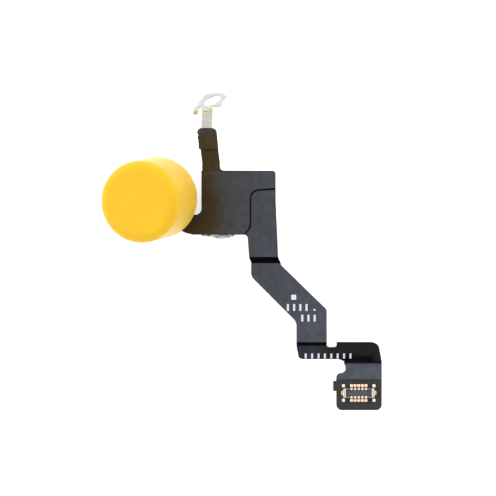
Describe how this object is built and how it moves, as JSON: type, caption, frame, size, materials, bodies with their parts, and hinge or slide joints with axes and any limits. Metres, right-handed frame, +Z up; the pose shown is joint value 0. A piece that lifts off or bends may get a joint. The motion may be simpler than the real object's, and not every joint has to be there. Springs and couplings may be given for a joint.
{
  "type": "phone camera flash flexible circuit",
  "caption": "Flexible circuit with a capped flash module on a tilted arm, a square sensor panel, a ring ground lug and a board plug at the end of a stepped tail.",
  "frame": {"origin": "centre of the footprint's bounding box, on the surface the part lies on", "axes": "+Y from the plug towards the ground lug, +X from the flash towards the plug's side, +Z up, out of the faces of the panel and the plug"},
  "size_m": [0.0272, 0.031, 0.0085],
  "materials": {
    "acoustic_mesh": "woven acoustic mesh on adhesive",
    "adhesive": "pressure-sensitive adhesive with its white liner",
    "can_metal": "nickel-plated brass can",
    "cap_vinyl": "soft yellow vinyl, satin",
    "ceramic": "white ceramic",
    "chip_parts": "chip capacitor and thermistor bodies",
    "circuit_board": "green-black laminate",
    "cool_phosphor": "pale yellow phosphor",
    "coverlay": "glossy black coverlay on polyimide and copper",
    "gasket_foam": "light grey conductive foam with a gritty skin",
    "gold": "pale gold plating",
    "holder_plastic": "black moulded plastic",
    "ink": "white printed ink",
    "lens_clear": "clear moulded lens",
    "lug_metal": "tin-plated sheet",
    "matt_coverlay": "satin brown-black coverlay on a stiffened land",
    "plug_plastic": "black moulded plastic",
    "seal_rubber": "black silicone rubber",
    "shield_film": "matt black-grey shielding film",
    "silicon": "microphone die",
    "sleeve_resin": "black, gritty cured resin",
    "solder": "bright tin",
    "steel": "stainless stiffener sheet",
    "warm_phosphor": "orange-yellow phosphor"
  },
  "bodies": {
    "panel": {"flex_panel": "coverlay", "panel_film": "shield_film", "tail_root_film": "shield_film", "panel_stiffener": "steel", "panel_adhesive": "adhesive", "mic_base": "circuit_board", "mic_can": "can_metal", "mic_chip": "silicon", "mic_mesh": "acoustic_mesh", "mic_gasket": "gasket_foam"},
    "flash": {"flex_flash_pad": "coverlay", "arm_bend_strip": "coverlay", "flash_stiffener": "steel", "emitter_board": "ceramic", "cool_emitters": "cool_phosphor", "warm_emitters": "warm_phosphor", "flash_capacitors": "chip_parts", "flash_thermistor": "chip_parts", "lens_holder": "holder_plastic", "lens_seal": "seal_rubber", "flash_lens": "lens_clear"},
    "cap": {"protective_cap": "cap_vinyl"},
    "finger": {"flex_finger": "matt_coverlay", "finger_bend_strip": "matt_coverlay", "finger_sleeve": "sleeve_resin", "ground_lug_stem": "lug_metal", "lug_gold_line": "gold", "lug_gold_patch": "gold"},
    "lug": {"ground_lug_ring": "lug_metal", "ground_lug_neck": "gold", "lug_gold_tip": "gold"},
    "tail": {"flex_tail": "coverlay", "tail_bend_strip": "coverlay", "tail_film": "shield_film", "tail_marks_upper": "ink", "tail_marks_lower": "ink", "tail_mark_square": "ink", "tail_mark_dot": "ink"},
    "joggle": {"flex_joggle": "coverlay", "joggle_bend_strip": "coverlay", "joggle_marks": "ink"},
    "connector": {"flex_connector_tab": "matt_coverlay", "connector_bend_strip": "coverlay", "connector_tab_film": "shield_film", "connector_stiffener": "steel", "plug_housing": "plug_plastic", "plug_contacts_upper": "gold", "plug_contacts_lower": "gold", "plug_end_fitting_right": "gold", "plug_end_fitting_left": "gold", "solder_pads_right": "solder", "solder_pads_left": "solder"}
  },
  "joints": [
    {"name": "arm_bend", "type": "hinge", "parent": "panel", "child": "flash", "pos_m": [-0.00478, 0.00258, 0.00208], "axis": [0.2756, -0.9613, 0], "range_deg": [-15, 30], "stiffness_Nm_per_rad": 0.000828, "deforming": ["arm_bend_strip"]},
    {"name": "cap_pull", "type": "slide", "parent": "flash", "child": "cap", "axis": [-0.297, -0.0852, 0.9511], "range_m": [0, 0.007]},
    {"name": "finger_bend", "type": "hinge", "parent": "panel", "child": "finger", "pos_m": [-0.00037, 0.00841, 0.0021], "axis": [-1, 0, 0], "range_deg": [-60, 60], "stiffness_Nm_per_rad": 0.000917, "deforming": ["finger_bend_strip"]},
    {"name": "lug_bend", "type": "hinge", "parent": "finger", "child": "lug", "pos_m": [-0.00341, 0.0137, 0.00258], "axis": [-0.9272, -0.3736, -0.0281], "range_deg": [-60, 20], "stiffness_Nm_per_rad": 0.0127, "deforming": ["ground_lug_neck"]},
    {"name": "tail_bend", "type": "hinge", "parent": "panel", "child": "tail", "pos_m": [-0.00037, -0.00086, 0.0021], "axis": [1, 0, 0], "range_deg": [-45, 45], "stiffness_Nm_per_rad": 0.00114, "deforming": ["tail_bend_strip"]},
    {"name": "joggle_bend", "type": "hinge", "parent": "tail", "child": "joggle", "pos_m": [-0.00037, -0.00899, 0.00207], "axis": [1, 0, 0], "range_deg": [-45, 30], "stiffness_Nm_per_rad": 0.00199, "deforming": ["joggle_bend_strip"]},
    {"name": "connector_bend", "type": "hinge", "parent": "joggle", "child": "connector", "pos_m": [-0.00037, -0.0108, 0.00034], "axis": [1, 0, 0], "range_deg": [-30, 45], "stiffness_Nm_per_rad": 0.00238, "deforming": ["connector_bend_strip"]}
  ]
}
